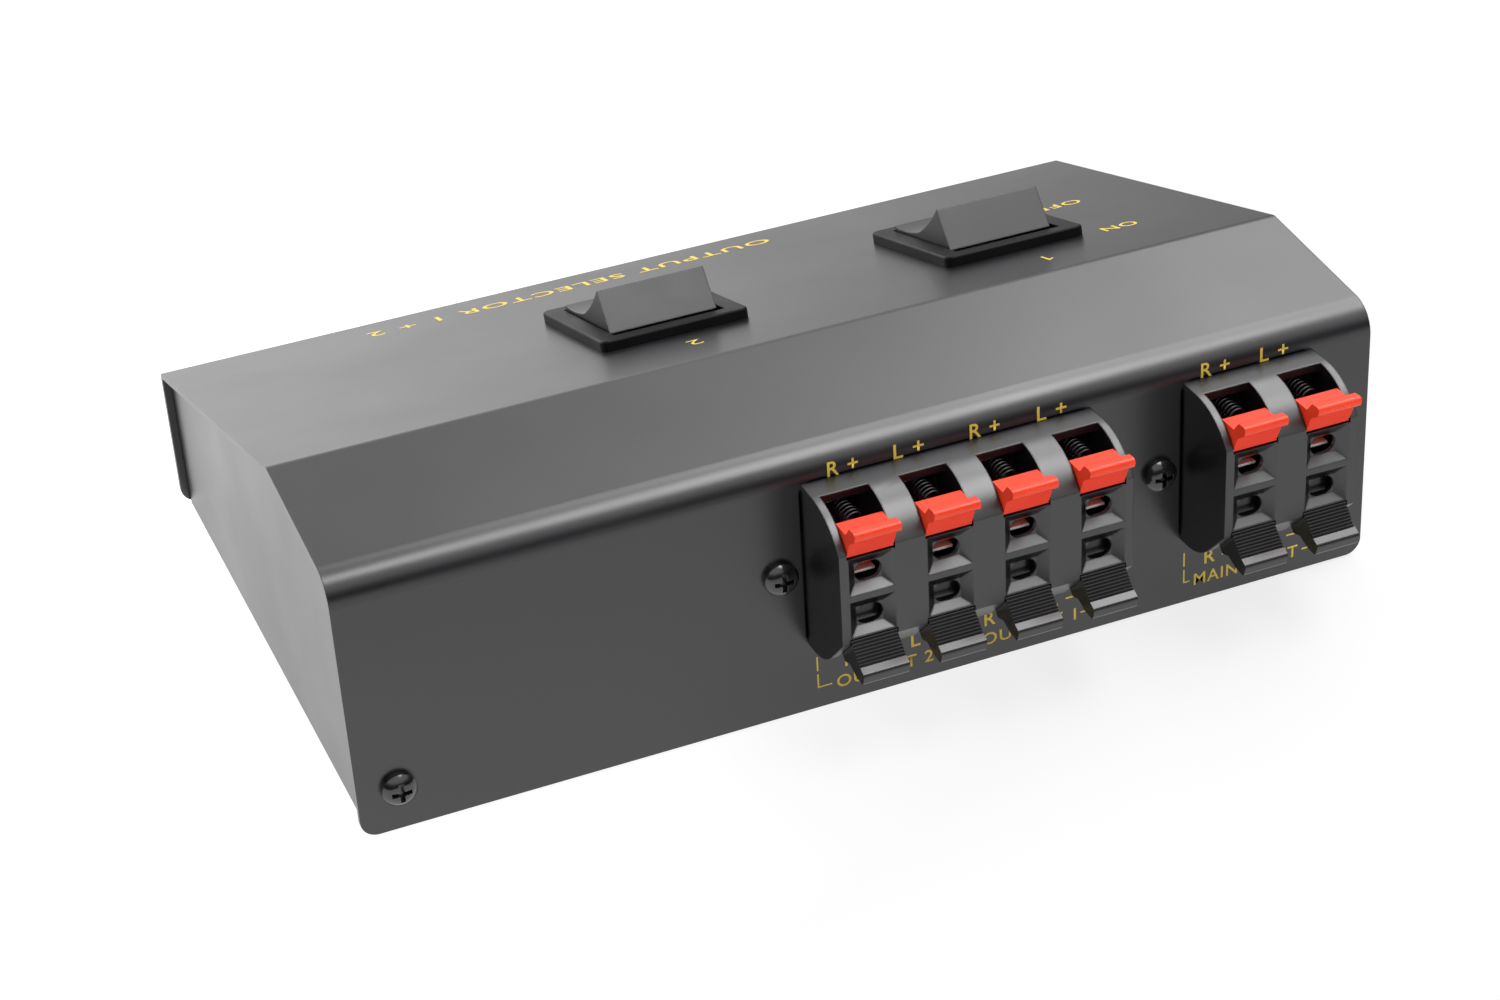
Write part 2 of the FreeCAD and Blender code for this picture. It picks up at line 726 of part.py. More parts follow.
def make_switch_housing():
    """The rocker switch's bezel and open-topped body, with its pivot holes and terminal slots."""
    half_u = switch_body_half_width()
    half_v = switch_body_half_length()
    bezel = prism_z(rectangle(-bezel_width / 2, bezel_width / 2, -bezel_length / 2, bezel_length / 2),
                    [bezel_corner] * 4, 0, bezel_height)
    top_edges = [e for e in bezel.Edges if abs(e.BoundBox.ZMin - bezel_height) < 1e-6]
    bezel = bezel.makeFillet(0.35, top_edges)
    body = block_box(-half_u, half_u, -half_v, half_v, -switch_depth, 0)
    inner_u = half_u - switch_wall
    inner_v = half_v - switch_wall
    room = block_box(-inner_u, inner_u, -inner_v, inner_v, -switch_depth + switch_floor, bezel_height + 1)
    housing = bezel.fuse(body).cut(room)
    pivot = Part.makeCylinder(trunnion_radius + trunnion_clearance, 2 * half_u - 0.6,
                              V(-half_u + 0.3, 0, -rocker_pivot_depth), V(1, 0, 0))
    housing = housing.cut(pivot)
    for u in (-pole_offset, pole_offset):
        for v in (0, pad_offset):
            reach_u = tab_width / 2 + 0.05
            reach_v = tab_thickness / 2 + 0.05
            slot = block_box(u - reach_u, u + reach_u, v - reach_v, v + reach_v, -switch_depth - 1,
                             -switch_depth + switch_floor + 1)
            housing = housing.cut(slot)
        drop = pad_offset * math.sin(math.radians(blade_tilt()))
        stop_top = -blade_pivot_depth - blade_thickness / 2 - drop - stop_gap
        stop_low = -switch_depth + switch_floor - 0.5
        if stop_top > stop_low + 0.5:
            stop = block_box(u - blade_width / 2, u + blade_width / 2, -pad_offset - stop_width / 2,
                             -pad_offset + stop_width / 2, stop_low, stop_top)
            housing = housing.fuse(stop)
    return housing.removeSplitter()


def make_rocker():
    """The rocker in its own frame, level, with its pivot at the origin and two bores for the plungers."""
    half = rocker_width / 2

    def at(v, w):
        return V(-half, v, w)

    edges = []
    crest = (ridge_span, ridge_rise)
    bow = (ridge_span * 0.5, valley_rise + (ridge_rise - valley_rise) * 0.32)
    edges.append(Part.Arc(at(-crest[0], crest[1]), at(-bow[0], bow[1]), at(0, valley_rise)).toShape())
    edges.append(Part.Arc(at(0, valley_rise), at(bow[0], bow[1]), at(crest[0], crest[1])).toShape())
    hub_angle = math.radians(25)
    hub_point = (hub_radius * math.cos(hub_angle), hub_radius * math.sin(hub_angle))
    edges.append(Part.LineSegment(at(*crest), at(skirt_span, skirt_rise)).toShape())
    edges.append(Part.LineSegment(at(skirt_span, skirt_rise), at(*hub_point)).toShape())
    edges.append(Part.Arc(at(*hub_point), at(0, -hub_radius), at(-hub_point[0], hub_point[1])).toShape())
    edges.append(Part.LineSegment(at(-hub_point[0], hub_point[1]), at(-skirt_span, skirt_rise)).toShape())
    edges.append(Part.LineSegment(at(-skirt_span, skirt_rise), at(-crest[0], crest[1])).toShape())
    rocker = Part.Face(Part.Wire(edges)).extrude(V(rocker_width, 0, 0))
    reach = half + rocker_side_gap + trunnion_length
    trunnion = Part.makeCylinder(trunnion_radius, 2 * reach, V(-reach, 0, 0), V(1, 0, 0))
    rocker = rocker.fuse(trunnion)
    for u in (-pole_offset, pole_offset):
        depth = hub_radius + bore_top + 1
        bore = Part.makeCylinder(plunger_radius + plunger_clearance, depth, V(u, 0, -hub_radius - 1))
        rocker = rocker.cut(bore)
    return rocker.removeSplitter()


def make_plungers():
    """The two rounded plungers in the rocker's frame."""
    pins = []
    for u in (-pole_offset, pole_offset):
        tip = Part.makeSphere(plunger_radius, V(u, 0, -plunger_reach + plunger_radius))
        shank = Part.makeCylinder(plunger_radius, plunger_length, V(u, 0, -plunger_reach + plunger_radius))
        pins.append(tip.fuse(shank).removeSplitter())
    return Part.makeCompound(pins)


def make_plunger_springs():
    """The two short springs above the plungers, each a plain sleeve of the coil's outer size."""
    sleeves = []
    low = -plunger_reach + plunger_radius + plunger_length + 0.1
    for u in (-pole_offset, pole_offset):
        outer = Part.makeCylinder(plunger_spring_radius, bore_top - low - 0.1, V(u, 0, low))
        core = Part.makeCylinder(plunger_spring_radius - 0.3, bore_top - low + 1, V(u, 0, low - 0.5))
        sleeves.append(outer.cut(core))
    return Part.makeCompound(sleeves)


def make_blades():
    """The two rocking contact blades, level, with their knife-edge notch at the origin."""
    blades = []
    for u in (-pole_offset, pole_offset):
        blade = block_box(u - blade_width / 2, u + blade_width / 2, -blade_length / 2, blade_length / 2,
                          -blade_thickness / 2, blade_thickness / 2)
        start = V(u - blade_width / 2 - 1, 0, -blade_thickness / 2)
        notch = Part.makeCylinder(blade_notch_radius, blade_width + 2, start, V(1, 0, 0))
        blades.append(blade.cut(notch))
    return Part.makeCompound(blades)


def make_switch_terminals():
    """The four flat terminals of a switch: a cradle under each blade and a padded one at its end."""
    solids = []
    for u in (-pole_offset, pole_offset):
        cradle_top = -blade_pivot_depth - blade_thickness / 2 - cradle_gap
        common = tab_box(u, 0, cradle_top)
        nose = Part.makeCylinder(blade_notch_radius - cradle_gap, blade_width,
                                 V(u - blade_width / 2, 0, cradle_top + cradle_gap), V(1, 0, 0))
        neck = block_box(u - blade_width / 2, u + blade_width / 2, -0.2, 0.2, cradle_top - 0.2,
                         cradle_top + cradle_gap)
        solids.append(common.fuse(neck).fuse(nose).removeSplitter())
        far = tab_box(u, pad_offset, pad_top() - pad_height / 2)
        pad = Part.makeCylinder(pad_radius, pad_height, V(u, pad_offset, pad_top() - pad_height))
        solids.append(far.fuse(pad).removeSplitter())
    return Part.makeCompound(solids)


def tilted(shape, angle, depth):
    """A shape turned about its own pivot and set that far below the panel."""
    turned = shape.copy()
    turned.rotate(V(0, 0, 0), V(1, 0, 0), angle)
    turned.translate(V(0, 0, -depth))
    return turned


def wire_tube(points):
    """A round insulated wire along straight runs with rounded corners."""
    edges = []
    start = points[0]
    for i in range(1, len(points) - 1):
        corner = points[i]
        back = V(points[i - 1] - corner).normalize()
        ahead = V(points[i + 1] - corner).normalize()
        half = back.getAngle(ahead) / 2
        reach = wire_bend_radius / math.tan(half)
        middle = V(back + ahead).normalize()
        bulge = corner + middle * (wire_bend_radius / math.sin(half) - wire_bend_radius)
        edges.append(Part.LineSegment(start, corner + back * reach).toShape())
        edges.append(Part.Arc(corner + back * reach, bulge, corner + ahead * reach).toShape())
        start = corner + ahead * reach
    edges.append(Part.LineSegment(start, points[-1]).toShape())
    ring = Part.Wire([Part.makeCircle(wire_radius, points[0], points[1] - points[0])])
    pipe = Part.BRepOffsetAPI.MakePipeShell(Part.Wire(edges))
    pipe.add(ring)
    pipe.build()
    pipe.makeSolid()
    return pipe.shape()


def lug_end(x, side):
    """The place where a wire meets a contact's solder lug."""
    return V(x, rear_y + block_tail + lug_length + wire_end_gap, block_mid_z + side * contact_offset)


def tab_end(switch, pole, v, aside):
    """The place where a wire meets a switch terminal's tip, and its X place."""
    angle = math.radians(slope_angle)
    depth = switch_depth + tab_length + wire_end_gap + wire_radius * math.tan(angle)
    run = switch_down_slope + v
    y = rear_y + deck_depth + run * math.cos(angle) - depth * math.sin(angle)
    z = ridge_height - run * math.sin(angle) - depth * math.cos(angle)
    return V(switch_positions[switch] + pole * pole_offset + aside, y, z)


def make_plus_wires(pole):
    """The wires of one channel's plus side: amplifier to both switches, and each switch to its block."""
    right = pole < 0
    index = 0 if right else 1
    tubes = []
    for switch, column in (("switch_2", index), ("switch_1", 2 + index)):
        lug = lug_end(column_places[column], 1)
        tab = tab_end(switch, pole, pad_offset, 0)
        bend = lug + V(0, plus_drop_run, 0)
        low = V(bend.x, bend.y, floor_wire_z)
        tubes.append(wire_tube([lug, bend, low, V(tab.x, tab.y, floor_wire_z), tab]))
    lug = lug_end(column_places[4 + index], 1)
    tab = tab_end("switch_1", pole, 0, -wire_spacing)
    tubes.append(wire_tube([lug, lug + V(0, plus_drop_run, 0), V(tab.x, tab.y, amplifier_wire_z), tab]))
    first = tab_end("switch_1", pole, 0, wire_spacing)
    last = tab_end("switch_2", pole, 0, wire_spacing)
    y = first.y - right_jumper_shift if right else first.y
    z = right_jumper_z if right else left_jumper_z
    tubes.append(wire_tube([first, V(first.x, y, z), V(last.x, y, z), last]))
    return Part.makeCompound(tubes)


def make_minus_wires(pole):
    """The wires of one channel's minus side, from the amplifier's block to each speaker's."""
    right = pole < 0
    index = 0 if right else 1
    fall = 0.0 if right else minus_loop * 0.83
    tubes = []
    stations = [4 + index, 2 + index, index]
    for a, b in zip(stations[:-1], stations[1:]):
        aside = wire_spacing - 0.3
        first = lug_end(column_places[a], -1) - V(aside, 0, 0)
        last = lug_end(column_places[b], -1) + V(aside, 0, 0)
        loop = V(0, minus_loop if right else minus_loop * 0.83, -fall)
        tubes.append(wire_tube([first, first + V(0, 0.8, 0) + loop, last + V(0, 0.8, 0) + loop, last]))
    return Part.makeCompound(tubes)


def main():
    os.makedirs("parts", exist_ok=True)
    save("top_cover", make_cover())
    save("base_tray", make_tray())
    save("cover_screws", make_cover_screws())
    save("terminal_block_screws", make_block_screws())
    save("terminal_block_nuts", make_block_nuts())
    for name, x, count in blocks:
        save(name + "_terminal_block", make_block(x, count))
    for name, x in zip(column_names, column_places):
        save(name + "_plus_lever", make_lever(x, 1, "red"))
        save(name + "_minus_lever", make_lever(x, -1, "black"))
        save(name + "_plus_contact", make_contact(x, 1))
        save(name + "_minus_contact", make_contact(x, -1))
    for name, spring in make_lever_springs().items():
        save(name, spring)
    pieces = {"housing": make_switch_housing(),
              "rocker": tilted(make_rocker(), -rocker_tilt, rocker_pivot_depth),
              "plungers": tilted(make_plungers(), -rocker_tilt, rocker_pivot_depth),
              "plunger_springs": tilted(make_plunger_springs(), -rocker_tilt, rocker_pivot_depth),
              "blades": tilted(make_blades(), blade_tilt(), blade_pivot_depth),
              "terminals": make_switch_terminals()}
    for switch, x in switch_positions.items():
        for piece, shape in pieces.items():
            save(switch + "_" + piece, slope_place(shape, x))
    for name, pole in (("right", -1), ("left", 1)):
        save(name + "_plus_wires", make_plus_wires(pole))
        save(name + "_minus_wires", make_minus_wires(pole))


main()
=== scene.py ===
import bpy
import json
import math
import numpy as np
from mathutils import Matrix, Vector


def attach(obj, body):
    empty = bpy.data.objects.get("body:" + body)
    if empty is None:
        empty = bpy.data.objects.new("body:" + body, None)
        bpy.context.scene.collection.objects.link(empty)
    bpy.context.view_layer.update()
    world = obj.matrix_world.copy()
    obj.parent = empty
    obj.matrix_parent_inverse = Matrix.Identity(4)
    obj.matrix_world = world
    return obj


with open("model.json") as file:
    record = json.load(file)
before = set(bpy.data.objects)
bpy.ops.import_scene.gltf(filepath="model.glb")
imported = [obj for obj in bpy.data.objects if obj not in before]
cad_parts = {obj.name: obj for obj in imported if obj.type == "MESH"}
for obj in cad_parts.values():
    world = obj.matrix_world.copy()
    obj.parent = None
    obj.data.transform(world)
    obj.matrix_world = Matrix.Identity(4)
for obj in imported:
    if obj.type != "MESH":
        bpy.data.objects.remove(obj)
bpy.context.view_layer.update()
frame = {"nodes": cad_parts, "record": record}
scene = bpy.context.scene
record = frame["record"]
nodes = frame["nodes"]

# The case, in metres: the rear panel's face, the ridge, and the switch panel that slopes from the ridge
# down to the lip at the case's full depth.
REAR_Y = -0.054
CASE_DEPTH = 0.108
DECK_DEPTH = 0.0297
RIDGE_Y = REAR_Y + DECK_DEPTH
RIDGE_Z = 0.0484
LIP_Z = 0.0258
SLOPE = math.atan2(RIDGE_Z - LIP_Z, CASE_DEPTH - DECK_DEPTH)

# Print, in metres: how far it lies above the paint, and the width of its lines.
PRINT_LIFT = 0.00002
LINE_WIDTH = 0.00026

WHITE = (1.0, 1.0, 1.0, 1.0)


def set_camera():
    """The photograph's viewpoint: left of and above the rear panel, with a long lens."""
    place = (-0.1651, -0.4331, 0.2868)
    right = Vector((0.92064528, -0.38651053, -0.05497165))
    down = Vector((-0.24457282, -0.46125474, -0.85289401))
    ahead = Vector((0.30429659, 0.79865742, -0.51918197))
    sensor_width = 36.0
    focal_pixels = 3233.0
    picture_pixels = 1500.0
    camera = bpy.data.cameras.new("camera")
    camera.lens = sensor_width * focal_pixels / picture_pixels
    camera.sensor_width = sensor_width
    camera.clip_start = 0.01
    rig = bpy.data.objects.new("camera", camera)
    turn = Matrix((right, -down, -ahead)).transposed().to_4x4()
    rig.matrix_world = Matrix.Translation(place) @ turn
    scene.collection.objects.link(rig)
    scene.camera = rig


def softbox(name, place, width, height, power, target=(0.0, 0.0, 0.02)):
    """A rectangular lamp that faces the target."""
    lamp = bpy.data.lights.new(name, "AREA")
    lamp.shape = "RECTANGLE"
    lamp.size = width
    lamp.size_y = height
    lamp.energy = power
    holder = bpy.data.objects.new(name, lamp)
    aim = (Vector(target) - Vector(place)).to_track_quat("-Z", "Y")
    holder.matrix_world = Matrix.Translation(place) @ aim.to_matrix().to_4x4()
    scene.collection.objects.link(holder)


def eased(tree, value, start, end, low, high):
    """A value carried smoothly from low to high between start and end."""
    step = tree.nodes.new("ShaderNodeMapRange")
    step.interpolation_type = "SMOOTHSTEP"
    for socket, number in (("From Min", start), ("From Max", end), ("To Min", low), ("To Max", high)):
        step.inputs[socket].default_value = number
    tree.links.new(value, step.inputs["Value"])
    return step.outputs["Result"]


def combined(tree, operation, first, second):
    """The outcome of one sum, product or comparison of two values."""
    node = tree.nodes.new("ShaderNodeMath")
    node.operation = operation
    tree.links.new(first, node.inputs[0])
    tree.links.new(second, node.inputs[1])
    return node.outputs[0]


def mixed(tree, share, first, second, out):
    """Two shaders joined by a share of the second, led to the output."""
    mix = tree.nodes.new("ShaderNodeMixShader")
    tree.links.new(share, mix.inputs["Fac"])
    tree.links.new(first.outputs[0], mix.inputs[1])
    tree.links.new(second.outputs[0], mix.inputs[2])
    tree.links.new(mix.outputs[0], out.inputs["Surface"])


def studio_walls(tree, camera_ray):
    """The room as the case mirrors it: dim low behind the photographer, and beyond the case paler on
    the left than on the right. The camera itself sees it white."""
    where = tree.nodes.new("ShaderNodeTexCoord")
    parts = tree.nodes.new("ShaderNodeSeparateXYZ")
    tree.links.new(where.outputs["Generated"], parts.inputs[0])
    rightward, beyond, height = parts.outputs
    past_case = eased(tree, beyond, -0.30, 0.15, 0.0, 1.0)
    dim_low = eased(tree, height, 0.32, 0.60, 0.10, 1.0)
    lit = combined(tree, "MAXIMUM", dim_low, past_case)
    upper = combined(tree, "MINIMUM", eased(tree, height, 0.20, 0.60, 0.0, 9.0), lit)
    left_glow = eased(tree, rightward, 0.0, 0.50, 2.75, 0.0)
    near_horizon = eased(tree, height, 0.25, 0.55, 1.0, 0.0)
    lower = combined(tree, "MULTIPLY", left_glow, near_horizon)
    lower = combined(tree, "MULTIPLY", lower, past_case)
    return combined(tree, "MAXIMUM", combined(tree, "MAXIMUM", lower, upper), camera_ray)


def light_the_room():
    """White for the camera, half as bright on matt surfaces, and graded walls in shiny ones."""
    world = bpy.data.worlds.new("studio")
    world.use_nodes = True
    tree = world.node_tree
    tree.nodes.clear()
    out = tree.nodes.new("ShaderNodeOutputWorld")
    dim = tree.nodes.new("ShaderNodeBackground")
    dim.inputs["Color"].default_value = WHITE
    dim.inputs["Strength"].default_value = 0.5
    walls = tree.nodes.new("ShaderNodeBackground")
    walls.inputs["Color"].default_value = WHITE
    path = tree.nodes.new("ShaderNodeLightPath")
    camera_ray = path.outputs["Is Camera Ray"]
    straight = combined(tree, "MAXIMUM", camera_ray, path.outputs["Is Transmission Ray"])
    sharp = combined(tree, "MAXIMUM", straight, path.outputs["Is Glossy Ray"])
    tree.links.new(studio_walls(tree, camera_ray), walls.inputs["Strength"])
    mixed(tree, sharp, dim, walls, out)
    scene.world = world


def lay_the_floor():
    """A pale matt floor that the camera sees white, with a painted pool of light: its glow, which the case
    mirrors, is brighter near the case's left end.
    """
    half = 3.0
    below = -0.0002
    corners = [(-half, -half, below), (half, -half, below), (half, half, below), (-half, half, below)]
    mesh = bpy.data.meshes.new("floor")
    mesh.from_pydata(corners, [], [(0, 1, 2, 3)])
    floor = bpy.data.objects.new("floor", mesh)
    scene.collection.objects.link(floor)
    mat = bpy.data.materials.new("white_sweep")
    mat.use_nodes = True
    tree = mat.node_tree
    tree.nodes.clear()
    out = tree.nodes.new("ShaderNodeOutputMaterial")
    matt = tree.nodes.new("ShaderNodeBsdfDiffuse")
    matt.inputs["Color"].default_value = (0.92, 0.92, 0.92, 1.0)
    glow = tree.nodes.new("ShaderNodeEmission")
    glow.inputs["Color"].default_value = WHITE
    path = tree.nodes.new("ShaderNodeLightPath")
    where = tree.nodes.new("ShaderNodeTexCoord")
    reach = tree.nodes.new("ShaderNodeVectorMath")
    reach.operation = "DISTANCE"
    brightest_spot = (-0.15, 0.15, 0.0)
    reach.inputs[1].default_value = brightest_spot
    tree.links.new(where.outputs["Object"], reach.inputs[0])
    # Painted pool of light: the floor's glow, seen by the camera and in reflections, is strongest at
    # brightest_spot and fades away from it.
    painted_pool_glow = eased(tree, reach.outputs["Value"], 0.05, 0.40, 1.55, 0.78)
    camera_ray = path.outputs["Is Camera Ray"]
    tree.links.new(combined(tree, "MAXIMUM", painted_pool_glow, camera_ray), glow.inputs["Strength"])
    share = tree.nodes.new("ShaderNodeMath")
    share.operation = "MULTIPLY"
    share.inputs[1].default_value = 0.8
    tree.links.new(combined(tree, "MAXIMUM", camera_ray, path.outputs["Is Glossy Ray"]), share.inputs[0])
    mixed(tree, share.outputs[0], matt, glow, out)
    mesh.materials.append(mat)


def light_the_table():
    """A white room, a lamp over the rear edge, a larger one high on the right, and a pale floor."""
    light_the_room()
    softbox("overhead_softbox", (0.36, -0.30, 1.1), 0.7, 0.45, 6.0, target=(0.0, -0.03, 0.02))
    softbox("right_softbox", (0.78, 0.48, 1.24), 1.0, 0.9, 9.5)
    lay_the_floor()


def finish_of(name, low, high, roughness, spread=0.05, grain=900.0, grain_depth=0.000004,
              mottle=60.0, edge=0.0002, metallic=0.0, coat=0.0, under=0.0, specular=0.5):
    """A surface whose colour drifts from low to high, with fine grain and softened edges."""
    mat = bpy.data.materials.new(name)
    mat.use_nodes = True
    tree = mat.node_tree
    shader = tree.nodes["Principled BSDF"]
    shader.inputs["Metallic"].default_value = metallic
    shader.inputs["Coat Weight"].default_value = coat
    shader.inputs["Coat Roughness"].default_value = 0.12
    shader.inputs["Specular IOR Level"].default_value = specular
    if under > 0:
        shader.inputs["Subsurface Weight"].default_value = under
        shader.inputs["Subsurface Radius"].default_value = (1.0, 0.25, 0.2)
        shader.inputs["Subsurface Scale"].default_value = 0.0015
    where = tree.nodes.new("ShaderNodeTexCoord")
    drift = tree.nodes.new("ShaderNodeTexNoise")
    drift.inputs["Scale"].default_value = mottle
    drift.inputs["Detail"].default_value = 4.0
    tree.links.new(where.outputs["Object"], drift.inputs["Vector"])
    ramp = tree.nodes.new("ShaderNodeValToRGB")
    ramp.color_ramp.elements[0].position = 0.3
    ramp.color_ramp.elements[1].position = 0.7
    ramp.color_ramp.elements[0].color = (*low, 1.0)
    ramp.color_ramp.elements[1].color = (*high, 1.0)
    tree.links.new(drift.outputs["Fac"], ramp.inputs["Fac"])
    tree.links.new(ramp.outputs["Color"], shader.inputs["Base Color"])
    rough = tree.nodes.new("ShaderNodeMapRange")
    rough.inputs["From Min"].default_value = 0.3
    rough.inputs["From Max"].default_value = 0.7
    rough.inputs["To Min"].default_value = roughness - spread
    rough.inputs["To Max"].default_value = roughness + spread
    tree.links.new(drift.outputs["Fac"], rough.inputs["Value"])
    tree.links.new(rough.outputs["Result"], shader.inputs["Roughness"])
    fine = tree.nodes.new("ShaderNodeTexNoise")
    fine.inputs["Scale"].default_value = grain
    fine.inputs["Detail"].default_value = 3.0
    tree.links.new(where.outputs["Object"], fine.inputs["Vector"])
    bump = tree.nodes.new("ShaderNodeBump")
    bump.inputs["Strength"].default_value = 1.0
    bump.inputs["Distance"].default_value = grain_depth
    tree.links.new(fine.outputs["Fac"], bump.inputs["Height"])
    if edge > 0:
        soft = tree.nodes.new("ShaderNodeBevel")
        soft.samples = 4
        soft.inputs["Radius"].default_value = edge
        tree.links.new(soft.outputs["Normal"], bump.inputs["Normal"])
    tree.links.new(bump.outputs["Normal"], shader.inputs["Normal"])
    return mat


def paint(name):
    """Satin black paint, faintly blue."""
    return finish_of(name, (0.0050, 0.0048, 0.0072), (0.0080, 0.0078, 0.0105), roughness=0.31, spread=0.03,
                     grain=1100.0, grain_depth=0.000008, mottle=35.0, edge=0.0003, specular=0.95)


def insulation(name, low, high):
    """The plastic over a wire."""
    return finish_of(name, low, high, roughness=0.42)


def make_finishes():
    """One material for every slot in the record."""
    return {
        "case_paint": paint("satin_black_paint"),
        "tray_paint": paint("satin_black_tray_paint"),
        "screw_steel": finish_of("blackened_screw_steel", (0.006, 0.006, 0.006), (0.014, 0.014, 0.015),
                                 roughness=0.2, spread=0.05, grain=2500.0, grain_depth=0.000004,
                                 mottle=400.0, edge=0.00018, coat=0.5, specular=0.7),
        "nut_steel": finish_of("plated_nut_steel", (0.5, 0.5, 0.5), (0.62, 0.62, 0.62),
                               roughness=0.32, spread=0.06, grain=2000.0, grain_depth=0.000004,
                               mottle=300.0, edge=0.0001, metallic=1.0),
        "block_plastic": finish_of("moulded_block_plastic", (0.004, 0.0042, 0.0065), (0.006, 0.0062, 0.009),
                                   roughness=0.32, spread=0.04, grain=1800.0, grain_depth=0.000005,
                                   mottle=80.0, edge=0.00035, specular=1.0),
        "red_plastic": finish_of("red_lever_plastic", (0.95, 0.046, 0.010), (1.0, 0.062, 0.016),
                                 roughness=0.25, spread=0.04, grain=1500.0, grain_depth=0.0000003,
                                 mottle=150.0, edge=0.0, specular=0.35),
        "black_plastic": finish_of("black_lever_plastic", (0.008, 0.008, 0.009), (0.011, 0.011, 0.012),
                                   roughness=0.22, spread=0.02, grain=1500.0, grain_depth=0.0000003,
                                   mottle=150.0, edge=0.0, specular=0.65),
        "contact_metal": finish_of("plated_contact_metal", (0.86, 0.84, 0.80), (0.95, 0.93, 0.89),
                                   roughness=0.3, spread=0.06, grain=2000.0, grain_depth=0.000001,
                                   mottle=300.0, edge=0.00008, metallic=0.55),
        "spring_steel": finish_of("dark_spring_steel", (0.03, 0.03, 0.032), (0.06, 0.06, 0.064),
                                  roughness=0.3, spread=0.05, grain=2500.0, grain_depth=0.000001,
                                  mottle=500.0, edge=0.00005, metallic=1.0),
        "bezel_plastic": finish_of("bezel_plastic", (0.004, 0.004, 0.0045), (0.006, 0.006, 0.0065),
                                   roughness=0.42, spread=0.04, grain=1800.0, grain_depth=0.000004,
                                   mottle=120.0, edge=0.0003, specular=0.12),
        "rocker_plastic": finish_of("rocker_plastic", (0.012, 0.0125, 0.014), (0.016, 0.0165, 0.018),
                                    roughness=0.42, spread=0.04, grain=1600.0, grain_depth=0.000007,
                                    mottle=120.0, edge=0.0003, specular=0.8),
        "plunger_plastic": finish_of("plunger_plastic", (0.78, 0.77, 0.72), (0.84, 0.83, 0.78),
                                     roughness=0.45, spread=0.05, grain=1500.0, grain_depth=0.000004,
                                     mottle=120.0, edge=0.0001),
        "red_wire": insulation("red_wire_insulation", (0.55, 0.03, 0.03), (0.62, 0.04, 0.04)),
        "white_wire": insulation("white_wire_insulation", (0.76, 0.76, 0.74), (0.82, 0.82, 0.80)),
        "black_wire": insulation("black_wire_insulation", (0.015, 0.015, 0.015), (0.02, 0.02, 0.02)),
    }


def gold_ink():
    """Screen-printed gold ink, thinner here and there so that the paint shows through."""
    return finish_of("gold_ink", (0.93, 0.66, 0.09), (1.0, 0.76, 0.14), roughness=0.5, spread=0.08,
                     grain=2500.0, grain_depth=0.000001, mottle=1500.0, edge=0.00002, specular=0.3)


def dress_nodes(finishes):
    """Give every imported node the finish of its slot."""
    for part in record["subparts"]:
        mesh = nodes[part["node"]].data
        mesh.materials.clear()
        mesh.materials.append(finishes[part["material_slot"]])


def on_rear_panel(x, z):
    """A place on the rear panel's face, with the directions of print read from behind the case."""
    return Vector((x, REAR_Y, z)), Vector((1, 0, 0)), Vector((0, 0, 1))


def on_switch_panel(x, s):
    """A place on the switch panel, s down from the ridge, with print that faces the user in front."""
    down = Vector((0, math.cos(SLOPE), -math.sin(SLOPE)))
    place = Vector((x, RIDGE_Y, RIDGE_Z)) + down * s
    return place, Vector((-1, 0, 0)), -down


def print_mark(name, words, height, width, spot, ink, weight=0.012):
    """Words as a flat mesh just above the paint: the letters' box is scaled to width by height, centred
    on the spot, and laid along the spot's right and up directions. Weight thickens the strokes."""
    place, right, up = spot
    outward = right.cross(up)
    letters = bpy.data.curves.new(name, "FONT")
    letters.body = words
    letters.size = 1.0
    letters.resolution_u = 4
    letters.space_character = 1.12
    letters.offset = weight
    holder = bpy.data.objects.new(name + "_letters", letters)
    scene.collection.objects.link(holder)
    bpy.context.view_layer.update()
    mesh = bpy.data.meshes.new_from_object(holder.evaluated_get(bpy.context.evaluated_depsgraph_get()))
    bpy.data.objects.remove(holder)
    mesh.name = name
    flat = np.empty(len(mesh.vertices) * 3)
    mesh.vertices.foreach_get("co", flat)
    flat = flat.reshape(-1, 3)
    low = flat.min(0)
    size = flat.max(0) - low
    across = (flat[:, :1] - low[0] - size[0] / 2) * width / size[0]
    along = (flat[:, 1:2] - low[1] - size[1] / 2) * height / size[1]
    laid = np.array(place) + across * np.array(right) + along * np.array(up) + np.array(outward) * PRINT_LIFT
    mesh.vertices.foreach_set("co", laid.ravel())
    mesh.update()
    add_print(name, mesh, ink)


def print_line(name, spots, ink, width=LINE_WIDTH):
    """A printed line along a path: each point moved half the width to either side of the path."""
    points = np.array([np.array(s[0]) for s in spots])
    right = np.array(spots[0][1])
    up = np.array(spots[0][2])
    outward = np.cross(right, up)
    runs = np.diff(points, axis=0)
    runs = runs / np.linalg.norm(runs, axis=1)[:, None]
    before = np.vstack([runs[:1], runs])
    after = np.vstack([runs, runs[-1:]])
    side_before = np.cross(outward[None, :], before)
    side_after = np.cross(outward[None, :], after)
    side = side_before + side_after
    side = side / (side * side_before).sum(1)[:, None]
    lifted = points + outward[None, :] * PRINT_LIFT
    left = lifted + side * width / 2
    rest = lifted - side * width / 2
    grid = np.vstack([left, rest])
    count = len(points)
    first = np.arange(count - 1)
    faces = np.stack([first, first + count, first + count + 1, first + 1], 1)
    mesh = bpy.data.meshes.new(name)
    mesh.from_pydata(grid.tolist(), [], faces.tolist())
    mesh.update()
    add_print(name, mesh, ink)


def add_print(name, mesh, ink):
    """Put a printed mesh on the case."""
    mesh.materials.clear()
    mesh.materials.append(ink)
    mark = bpy.data.objects.new(name, mesh)
    scene.collection.objects.link(mark)
    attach(mark, "case")


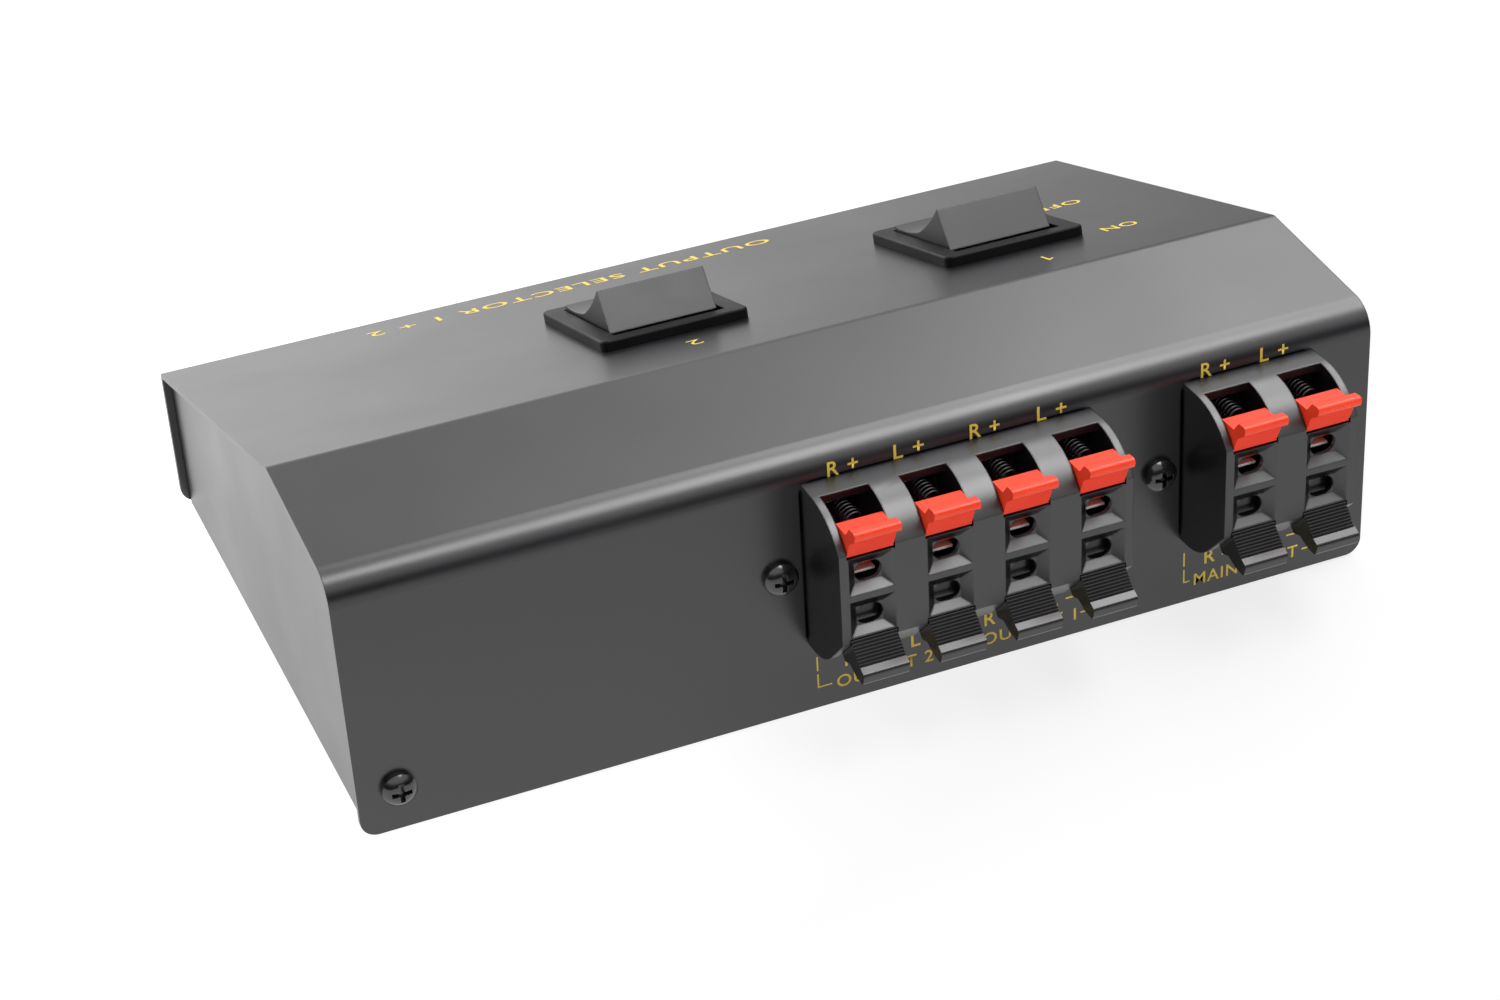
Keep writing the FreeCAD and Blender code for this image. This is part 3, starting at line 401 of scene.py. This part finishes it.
def print_channels(ink):
    """R and L with a plus over each upper lever and a minus under each lower one."""
    caps = 0.0025
    width = 0.0050
    upper_z = 0.0420
    lower_z = 0.0077
    upper = [-0.0057, 0.0051, 0.0177, 0.0290, 0.0572, 0.0676]
    lower = [-0.0043, 0.0069, 0.0195, 0.0307, 0.0585, 0.0705]
    for i in range(len(upper)):
        channel = "RL"[i % 2]
        print_mark("upper_mark_%d" % (i + 1), channel + " +", caps, width,
                   on_rear_panel(upper[i], upper_z), ink)
        print_mark("lower_mark_%d" % (i + 1), channel + " \u2013", caps, width,
                   on_rear_panel(lower[i], lower_z), ink)


def print_groups(ink):
    """A word under each pair of channels, between brackets that reach up beside the lower marks."""
    caps = 0.0022
    word_z = 0.0040
    corner_top = 0.0064
    bar_low = 0.0070
    bar_top = 0.0096
    word_gap = 0.0008
    groups = [("output_2", "OUTPUT 2", 0.0164, -0.0114, 0.0112),
              ("output_1", "OUTPUT 1", 0.0164, 0.0135, 0.0361),
              ("input", "MAIN INPUT", 0.0190, 0.0523, 0.0750)]
    for name, words, width, left, right in groups:
        print_mark(name + "_word", words, caps, width, on_rear_panel((left + right) / 2, word_z), ink)
        foot = (right - left - width) / 2 - word_gap
        for side, x, inward in (("left", left, foot), ("right", right, -foot)):
            corner = [on_rear_panel(x + inward, word_z), on_rear_panel(x, word_z),
                      on_rear_panel(x, corner_top)]
            print_line(name + "_%s_bracket" % side, corner, ink)
            print_line(name + "_%s_bar" % side, [on_rear_panel(x, bar_low), on_rear_panel(x, bar_top)], ink)


def print_the_case():
    """Channel letters, signs and numbers beside the terminals and switches."""
    ink = gold_ink()
    print_channels(ink)
    print_groups(ink)
    print_mark("switch_2_number", "2", 0.0032, 0.0022, on_switch_panel(-0.0128, 0.0109), ink, weight=0.0)
    print_line("switch_1_number", [on_switch_panel(0.0486, 0.0082), on_switch_panel(0.0477, 0.0074),
                                   on_switch_panel(0.0477, 0.0106)], ink, width=0.0004)
    print_mark("on_mark", "ON", 0.0032, 0.0062, on_switch_panel(0.0660, 0.0182), ink)
    print_mark("off_mark", "OFF", 0.0032, 0.0082, on_switch_panel(0.0672, 0.0435), ink)
    print_mark("panel_title", "OUTPUT SELECTOR 1 + 2", 0.0036, 0.0740, on_switch_panel(-0.0136, 0.0712), ink)


set_camera()
light_the_table()
dress_nodes(make_finishes())
print_the_case()
scene.view_settings.view_transform = "Standard"
